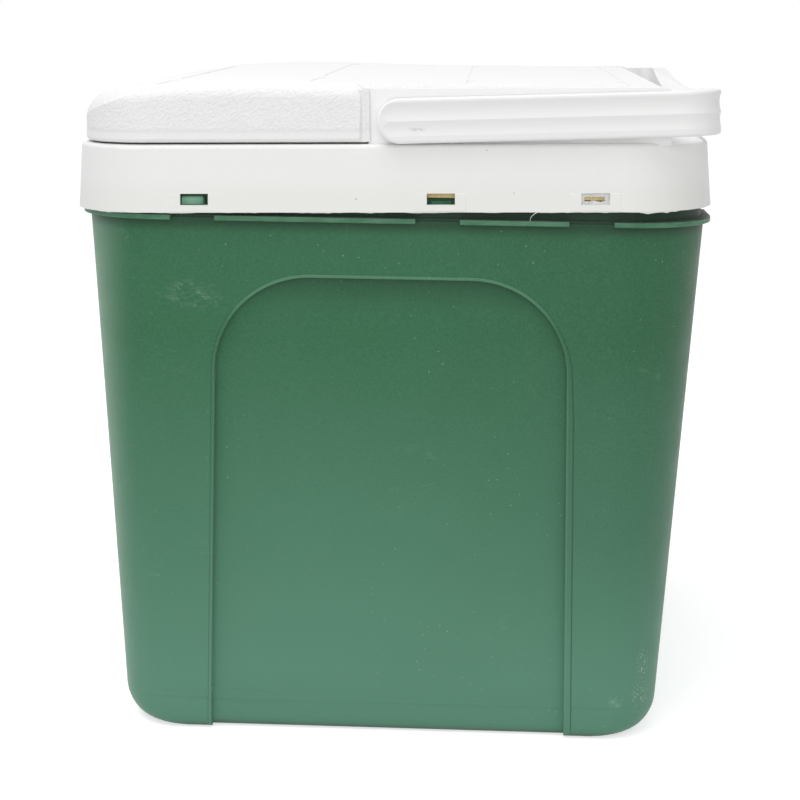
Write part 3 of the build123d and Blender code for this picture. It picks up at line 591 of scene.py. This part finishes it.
def make_panel_edge(name, half, base, turn, foot_r):
    """Low moulded bead outside an arched panel: flat crown with rounded borders, wider down one side."""
    line, out = arch_line(half, 0.002)
    width = 0.0019 + 0.0011 * (1 + np.tanh(line[:, 0] / 0.03)) * np.clip((0.232 - line[:, 1]) / 0.05, 0, 1)
    share = np.array([-0.02, 0.0, 0.05, 0.14, 0.30, 0.55, 0.78, 0.92, 1.0])
    height = np.array([-0.0012, 0.0001, 0.00040, 0.00055, 0.00050, 0.00042, 0.00034, 0.00018, -0.0001])
    flat = line[:, None] + out[:, None] * (width[:, None] * share)[..., None]
    below = np.clip(foot_r - flat[..., 1], 0, foot_r)
    depth = base + flat[..., 1] * BODY_DRAFT + height - (foot_r - np.sqrt(foot_r ** 2 - below ** 2))
    points = np.stack([flat[..., 0], -depth, flat[..., 1]], axis=-1)
    turned = np.array([[cos(turn), sin(turn), 0], [-sin(turn), cos(turn), 0], [0, 0, 1]])
    piece = grid_piece(name, (points @ turned)[::-1], edge_finish, "box")
    mark = piece.data.attributes.new("share", "FLOAT", "POINT")
    mark.data.foreach_set("value", np.tile(np.clip(share, 0, 1), len(line)).astype(np.float32))
    piece.data.shade_smooth()


def make_flange_bar():
    """Thicker outer lip of the broken flange: a low bar along each segment, drawn in at every gap."""
    line, out = rounded_loop(BASE_HALF_X + FLANGE_REACH, BASE_HALF_Y + FLANGE_REACH, FLANGE_CORNER_R, 2800)
    gap = np.zeros(len(line), bool)
    for x in WINDOW_X:
        gap |= (np.abs(line[:, 0] - x + GAP_SHIFT) < GAP_HALF) & (line[:, 1] < -0.18)
        gap |= (np.abs(line[:, 0] + x - GAP_SHIFT) < GAP_HALF) & (line[:, 1] > 0.18)
    for y in (-END_GAP_Y, END_GAP_Y):
        gap |= (np.abs(line[:, 1] - y) < GAP_HALF) & (np.abs(line[:, 0]) > 0.16)
    profile = np.array([(-0.0006, 0.2872), (-0.0001, 0.28705), (0.0, 0.2866), (0.0, 0.2850), (-0.0002, 0.2846),
                        (-0.0008, 0.2844), (-0.0034, 0.2845)])
    reach = np.where(gap[:, None], FLANGE_HIDDEN, FLANGE_PROUD + profile[:, 0])
    flat = line[:, None] + out[:, None] * reach[..., None]
    points = np.concatenate([flat, np.broadcast_to(profile[:, 1, None], flat.shape[:2] + (1,))], axis=-1)
    grid_piece("flange_bar", points[::-1], bar_finish, "box", closed_u=True)


def make_clip_nose():
    """Nose of the clip in the left window, in the pale finish with its painted highlight: a sloping top, a flat
    front and rounded ends.
    """
    profile = np.array([(-0.1902, 0.0084), (-0.1910, 0.0079), (-0.1918, 0.0069), (-0.19195, 0.0062),
                        (-0.19195, 0.0048), (-0.1916, 0.0040), (-0.1908, 0.00375), (-0.1902, 0.00375)])
    t = np.linspace(-1, 1, 41)
    shrink = (1 - np.abs(t) ** 9) ** (1 / 9)
    x = -0.1028 + 0.0057 * t
    y = -0.1902 + (profile[:, 0] + 0.1902) * shrink[:, None]
    z = 0.0061 + (profile[:, 1] - 0.0061) * (0.75 + 0.25 * shrink[:, None])
    points = in_unit(np.stack([np.broadcast_to(x[:, None], y.shape), y, z], axis=-1))[::-1]
    grid_piece("clip_nose", points, bar_finish, "box").data.shade_smooth()


def make_seam(name, x_from, x_to, z_from, z_to, panel, height):
    """Hairline moulding seam on the near wall: a low thread, thickest at a third of its run."""
    t = np.linspace(0, 1, 60)
    z = z_from + (z_to - z_from) * t
    radius = height * np.clip(np.sin(pi * t ** 0.7), 0.05, 1)
    line = np.stack([x_from + (x_to - x_from) * t, -wall_y(z, panel), z], axis=-1)
    tube_piece(name, line, radius, edge_finish, "box", sides=6)


def make_burr():
    """Small burr on the panel's lower left edge: a short thread with a fat middle."""
    t = np.linspace(0, 1, 16)
    line = np.stack([-0.0990 + 0.0034 * t, -0.1721 + 0.0002 * t, 0.0236 + 0.0010 * t], axis=-1)
    tube_piece("panel_burr", line, 0.0005 * np.sin(pi * np.clip(t, 0.04, 0.96)), edge_finish, "box")


for number, (half, base, foot_r) in enumerate(((0.093, BASE_HALF_Y, 0.007), (0.118, BASE_HALF_X, 0.019)) * 2):
    make_panel_edge(f"panel_edge_{number + 1}", half, base, -number * pi / 2, foot_r)
make_flange_bar()
make_clip_nose()
make_rim_flash()
make_window_plate("window_plate_left", -0.1018, 0.00010)
make_window_plate("window_plate_mid", 0.0255, 0.00022)
make_window_plate("window_plate_right", 0.1046, 0.00022)
make_whisker()
make_film()
make_seam("seam_left", -0.0967, -0.0345, 0.0238, 0.0215, True, 0.00022)
make_seam("seam_right", 0.0950, 0.0520, 0.0232, 0.0222, True, 0.00020)
make_seam("seam_outer", -0.1010, -0.1280, 0.0232, 0.0228, False, 0.00014)
make_burr()

# ---------------------------------------------------------------- studio


def studio_floor():
    """Wide pale floor: white to the camera and in reflections, with the object's own shadow kept."""
    corners = FLOOR_REACH * np.array([[[-1, -1, 0], [-1, 1, 0]], [[1, -1, 0], [1, 1, 0]]])
    mesh = bpy.data.meshes.new("floor")
    mesh.from_pydata(corners.reshape(-1, 3).tolist(), [], [(0, 2, 3, 1)])
    floor = bpy.data.objects.new("floor", mesh)
    scene.collection.objects.link(floor)
    material = bpy.data.materials.new("floor_paper")
    material.use_nodes = True
    tree = material.node_tree
    tree.nodes.clear()
    out = tree.nodes.new("ShaderNodeOutputMaterial")
    paper = tree.nodes.new("ShaderNodeBsdfDiffuse")
    paper.inputs["Color"].default_value = (0.80, 0.80, 0.80, 1)
    glow = tree.nodes.new("ShaderNodeEmission")
    both = tree.nodes.new("ShaderNodeAddShader")
    rays = tree.nodes.new("ShaderNodeLightPath")
    seen = tree.nodes.new("ShaderNodeMath")
    seen.operation = "MAXIMUM"
    seen_too = tree.nodes.new("ShaderNodeMath")
    seen_too.operation = "MAXIMUM"
    strength = tree.nodes.new("ShaderNodeMath")
    strength.operation = "MULTIPLY"
    strength.inputs[1].default_value = FLOOR_GLOW
    link = tree.links.new
    link(rays.outputs["Is Camera Ray"], seen.inputs[0])
    link(rays.outputs["Is Glossy Ray"], seen.inputs[1])
    link(seen.outputs[0], seen_too.inputs[0])
    link(rays.outputs["Is Transmission Ray"], seen_too.inputs[1])
    link(seen_too.outputs[0], strength.inputs[0])
    link(strength.outputs[0], glow.inputs["Strength"])
    link(paper.outputs[0], both.inputs[0])
    link(glow.outputs[0], both.inputs[1])
    link(both.outputs[0], out.inputs["Surface"])
    mesh.materials.append(material)


def studio_world():
    """White where seen directly or mirrored, softer where it lights the object."""
    world = bpy.data.worlds.new("studio")
    scene.world = world
    world.use_nodes = True
    tree = world.node_tree
    background = tree.nodes["Background"]
    background.inputs["Color"].default_value = (1, 1, 1, 1)
    rays = tree.nodes.new("ShaderNodeLightPath")
    link = tree.links.new
    seen = rays.outputs["Is Camera Ray"]
    for name in ("Is Glossy Ray", "Is Transmission Ray"):
        either = tree.nodes.new("ShaderNodeMath")
        either.operation = "MAXIMUM"
        link(seen, either.inputs[0])
        link(rays.outputs[name], either.inputs[1])
        seen = either.outputs[0]
    level = tree.nodes.new("ShaderNodeMapRange")
    level.inputs["To Min"].default_value = AMBIENT
    level.inputs["To Max"].default_value = 1.0
    link(seen, level.inputs["Value"])
    link(level.outputs[0], background.inputs["Strength"])


def softbox(name, place, aim, size, power):
    """Square area light that looks at a point."""
    light = bpy.data.lights.new(name, "AREA")
    light.size = size
    light.energy = power
    lamp = bpy.data.objects.new(name, light)
    lamp.location = place
    lamp.rotation_euler = (Vector(aim) - Vector(place)).to_track_quat("-Z", "Y").to_euler()
    scene.collection.objects.link(lamp)


studio_floor()
studio_world()
softbox("top_box", (-0.5, -0.5, 2.2), (0.0, 0.0, 0.2), 1.6, 27.0)
softbox("front_box", (-0.12, -2.6, 1.1), (0.0, 0.0, 0.2), 2.0, 16.5)
softbox("right_box", (1.9, -1.5, 1.0), (0.0, 0.0, 0.2), 1.4, 3.3)

eye = bpy.data.cameras.new("eye")
eye.sensor_width = 36.0
eye.lens = 90.0
eye.clip_end = 50.0
camera = bpy.data.objects.new("eye", eye)
right = Vector((0.99875607, 0.04802053, 0.01342922))
up = Vector((-0.02247201, 0.19306212, 0.98092917))
back = Vector((0.04451206, -0.98001074, 0.19390108))
camera.matrix_world = Matrix.Translation((0.0524174, -1.2173615, 0.3952226)) @ \
    Matrix((right, up, back)).transposed().to_4x4()
scene.collection.objects.link(camera)
scene.camera = camera

scene.view_settings.view_transform = "Standard"
